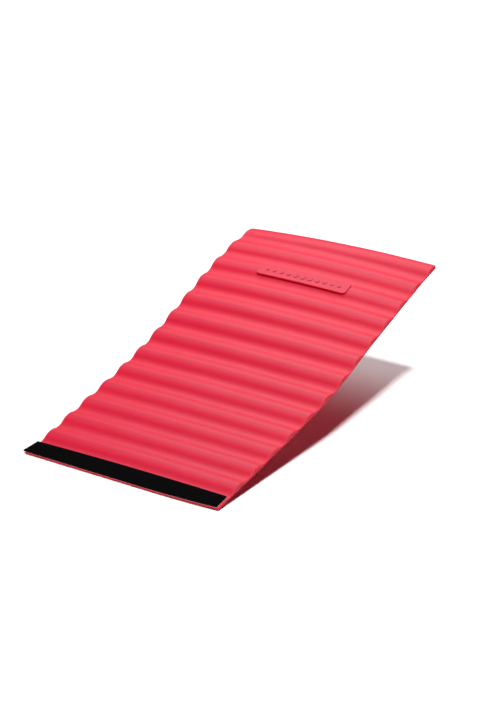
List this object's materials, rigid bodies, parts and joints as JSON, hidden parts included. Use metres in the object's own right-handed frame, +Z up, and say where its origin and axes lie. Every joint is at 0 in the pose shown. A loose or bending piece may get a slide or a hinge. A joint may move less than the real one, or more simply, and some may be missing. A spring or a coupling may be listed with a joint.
{
  "type": "foam roller wrap",
  "caption": "Ridged red foam sheet that wraps round a cylindrical foam exercise roller and closes along its length with a hook and loop strip.",
  "frame": {"origin": "middle of the raised sheet's bounding box, on the surface that the front edge stands on", "axes": "+Z up; +Y from the edge with the hook tape towards the far edge, across the ridges; +X along the ridges, towards the side where the hook tape stops short"},
  "size_m": [0.285, 0.4824, 0.1609],
  "materials": {
    "red_foam": "matte",
    "badge_foam": "satin",
    "hook_backing": "matte",
    "hooks": "matte",
    "loop_backing": "matte",
    "loop_pile": "matte",
    "adhesive": "satin"
  },
  "bodies": {
    "front_land": {"foam_front_land": "red_foam", "hook_tape_adhesive": "adhesive", "hook_tape_backing": "hook_backing", "hook_tape_hooks": "hooks"},
    "ridge_01": {"foam_ridge_01": "red_foam"},
    "ridge_02": {"foam_ridge_02": "red_foam"},
    "ridge_03": {"foam_ridge_03": "red_foam"},
    "ridge_04": {"foam_ridge_04": "red_foam"},
    "ridge_05": {"foam_ridge_05": "red_foam"},
    "ridge_06": {"foam_ridge_06": "red_foam"},
    "ridge_07": {"foam_ridge_07": "red_foam"},
    "ridge_08": {"foam_ridge_08": "red_foam"},
    "ridge_09": {"foam_ridge_09": "red_foam"},
    "ridge_10": {"foam_ridge_10": "red_foam"},
    "ridge_11": {"foam_ridge_11": "red_foam", "badge_plate": "badge_foam", "badge_marks": "badge_foam"},
    "ridge_12": {"foam_ridge_12": "red_foam"},
    "far_land": {"foam_far_land": "red_foam", "loop_tape_adhesive": "adhesive", "loop_tape_backing": "loop_backing", "loop_tape_pile": "loop_pile"}
  },
  "joints": [
    {"name": "curl_13", "type": "hinge", "parent": "far_land", "child": "ridge_12", "pos_m": [0, 0.21226, 0.14887], "axis": [1, 0, 0], "range_deg": [0, 32.7]},
    {"name": "curl_12", "type": "hinge", "parent": "ridge_12", "child": "ridge_11", "pos_m": [0, 0.17669, 0.13697], "axis": [1, 0, 0], "range_deg": [0, 19.91]},
    {"name": "curl_11", "type": "hinge", "parent": "ridge_11", "child": "ridge_10", "pos_m": [0, 0.14168, 0.12353], "axis": [1, 0, 0], "range_deg": [0, 24.41]},
    {"name": "curl_10", "type": "hinge", "parent": "ridge_10", "child": "ridge_09", "pos_m": [0, 0.10691, 0.10948], "axis": [1, 0, 0], "range_deg": [0, 27.61]},
    {"name": "curl_09", "type": "hinge", "parent": "ridge_09", "child": "ridge_08", "pos_m": [0, 0.07215, 0.09543], "axis": [1, 0, 0], "range_deg": [0, 28.31]},
    {"name": "curl_08", "type": "hinge", "parent": "ridge_08", "child": "ridge_07", "pos_m": [0, 0.03738, 0.08139], "axis": [1, 0, 0], "range_deg": [0, 29.11]},
    {"name": "curl_07", "type": "hinge", "parent": "ridge_07", "child": "ridge_06", "pos_m": [0, 0.00237, 0.06795], "axis": [1, 0, 0], "range_deg": [0, 30.11]},
    {"name": "curl_06", "type": "hinge", "parent": "ridge_06", "child": "ridge_05", "pos_m": [0, -0.03309, 0.05574], "axis": [1, 0, 0], "range_deg": [0, 30.11]},
    {"name": "curl_05", "type": "hinge", "parent": "ridge_05", "child": "ridge_04", "pos_m": [0, -0.06895, 0.04478], "axis": [1, 0, 0], "range_deg": [0, 29.71]},
    {"name": "curl_04", "type": "hinge", "parent": "ridge_04", "child": "ridge_03", "pos_m": [0, -0.10517, 0.03507], "axis": [1, 0, 0], "range_deg": [0, 27.51]},
    {"name": "curl_03", "type": "hinge", "parent": "ridge_03", "child": "ridge_02", "pos_m": [0, -0.1414, 0.02536], "axis": [1, 0, 0], "range_deg": [0, 28.51]},
    {"name": "curl_02", "type": "hinge", "parent": "ridge_02", "child": "ridge_01", "pos_m": [0, -0.17762, 0.01566], "axis": [1, 0, 0], "range_deg": [0, 30.81]},
    {"name": "curl_01", "type": "hinge", "parent": "ridge_01", "child": "front_land", "pos_m": [0, -0.21384, 0.00595], "axis": [1, 0, 0], "range_deg": [0, 24.31]}
  ],
  "couplings": [
    {"joint": "curl_01", "follows": "curl_13", "ratio": 0.74312},
    {"joint": "curl_02", "follows": "curl_13", "ratio": 0.9419},
    {"joint": "curl_03", "follows": "curl_13", "ratio": 0.87156},
    {"joint": "curl_04", "follows": "curl_13", "ratio": 0.84098},
    {"joint": "curl_05", "follows": "curl_13", "ratio": 0.90826},
    {"joint": "curl_06", "follows": "curl_13", "ratio": 0.92049},
    {"joint": "curl_07", "follows": "curl_13", "ratio": 0.92049},
    {"joint": "curl_08", "follows": "curl_13", "ratio": 0.88991},
    {"joint": "curl_09", "follows": "curl_13", "ratio": 0.86544},
    {"joint": "curl_10", "follows": "curl_13", "ratio": 0.84404},
    {"joint": "curl_11", "follows": "curl_13", "ratio": 0.74618},
    {"joint": "curl_12", "follows": "curl_13", "ratio": 0.60856}
  ]
}
